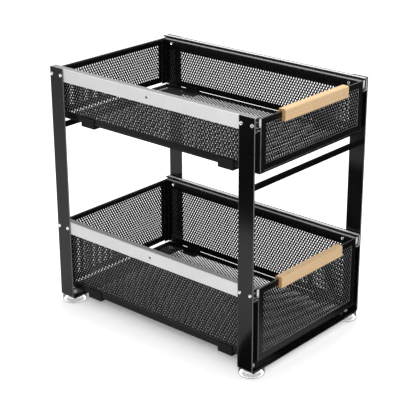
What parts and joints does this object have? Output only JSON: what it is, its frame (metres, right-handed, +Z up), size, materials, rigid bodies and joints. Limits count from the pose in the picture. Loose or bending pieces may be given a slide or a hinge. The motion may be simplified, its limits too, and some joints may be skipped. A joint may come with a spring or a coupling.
{
  "type": "pull-out cabinet basket",
  "caption": "Tiered pull-out organiser: open mesh baskets with wooden handles on ball slides in a black bar frame with clear feet.",
  "frame": {"origin": "on the floor, under the middle of the whole object at rest", "axes": "+Z up, -Y the way the baskets pull out, +X to the right for someone who faces the baskets"},
  "size_m": [0.291, 0.4424, 0.4235],
  "materials": {
    "black_coat": "satin powder coat",
    "black_mesh": "satin powder coat",
    "zinc": "bright zinc",
    "cage_steel": "plain",
    "bright_screw": "polished",
    "clear_foot": "clear, glossy",
    "black_clip": "matte",
    "pale_wood": "fine sanded, oiled"
  },
  "bodies": {
    "frame": {"post_front_left": "black_coat", "post_front_right": "black_coat", "post_rear_left": "black_coat", "post_rear_right": "black_coat", "base_rail_front": "black_coat", "base_rail_rear": "black_coat", "cross_rail_front": "black_coat", "cross_rail_rear": "black_coat", "foot_front_left": "clear_foot", "foot_front_right": "clear_foot", "foot_rear_left": "clear_foot", "foot_rear_right": "clear_foot", "foot_bolts": "bright_screw", "upper_slide_screws": "bright_screw", "lower_slide_screws": "bright_screw", "upper_slide_outer_left": "zinc", "upper_slide_outer_right": "zinc", "lower_slide_outer_left": "zinc", "lower_slide_outer_right": "zinc"},
    "upper_basket": {"upper_slide_inner_left": "zinc", "upper_slide_inner_right": "zinc", "upper_side_frame_left": "black_coat", "upper_side_frame_right": "black_coat", "upper_front_frame": "black_coat", "upper_rear_frame": "black_coat", "upper_mesh_left": "black_mesh", "upper_mesh_right": "black_mesh", "upper_mesh_front": "black_mesh", "upper_mesh_rear": "black_mesh", "upper_mesh_bottom": "black_mesh", "upper_bottom_frame": "black_coat", "upper_clips": "black_clip", "upper_basket_screws": "bright_screw", "upper_handle": "pale_wood"},
    "upper_middle_left": {"upper_slide_middle_left": "zinc", "upper_ball_cages_left": "cage_steel"},
    "upper_middle_right": {"upper_slide_middle_right": "zinc", "upper_ball_cages_right": "cage_steel"},
    "lower_basket": {"lower_slide_inner_left": "zinc", "lower_slide_inner_right": "zinc", "lower_side_frame_left": "black_coat", "lower_side_frame_right": "black_coat", "lower_front_frame": "black_coat", "lower_rear_frame": "black_coat", "lower_mesh_left": "black_mesh", "lower_mesh_right": "black_mesh", "lower_mesh_front": "black_mesh", "lower_mesh_rear": "black_mesh", "lower_mesh_bottom": "black_mesh", "lower_bottom_frame": "black_coat", "lower_clips": "black_clip", "lower_basket_screws": "bright_screw", "lower_handle": "pale_wood"},
    "lower_middle_left": {"lower_slide_middle_left": "zinc", "lower_ball_cages_left": "cage_steel"},
    "lower_middle_right": {"lower_slide_middle_right": "zinc", "lower_ball_cages_right": "cage_steel"}
  },
  "joints": [
    {"name": "upper_basket_pull", "type": "slide", "parent": "frame", "child": "upper_basket", "axis": [0, -1, 0], "range_m": [0, 0.4]},
    {"name": "upper_middle_left_run", "type": "slide", "parent": "frame", "child": "upper_middle_left", "axis": [0, -1, 0], "range_m": [0, 0.2]},
    {"name": "upper_middle_right_run", "type": "slide", "parent": "frame", "child": "upper_middle_right", "axis": [0, -1, 0], "range_m": [0, 0.2]},
    {"name": "lower_basket_pull", "type": "slide", "parent": "frame", "child": "lower_basket", "axis": [0, -1, 0], "range_m": [0, 0.4]},
    {"name": "lower_middle_left_run", "type": "slide", "parent": "frame", "child": "lower_middle_left", "axis": [0, -1, 0], "range_m": [0, 0.2]},
    {"name": "lower_middle_right_run", "type": "slide", "parent": "frame", "child": "lower_middle_right", "axis": [0, -1, 0], "range_m": [0, 0.2]}
  ],
  "couplings": [
    {"joint": "upper_middle_left_run", "follows": "upper_basket_pull", "ratio": 0.5},
    {"joint": "upper_middle_right_run", "follows": "upper_basket_pull", "ratio": 0.5},
    {"joint": "lower_middle_left_run", "follows": "lower_basket_pull", "ratio": 0.5},
    {"joint": "lower_middle_right_run", "follows": "lower_basket_pull", "ratio": 0.5}
  ]
}
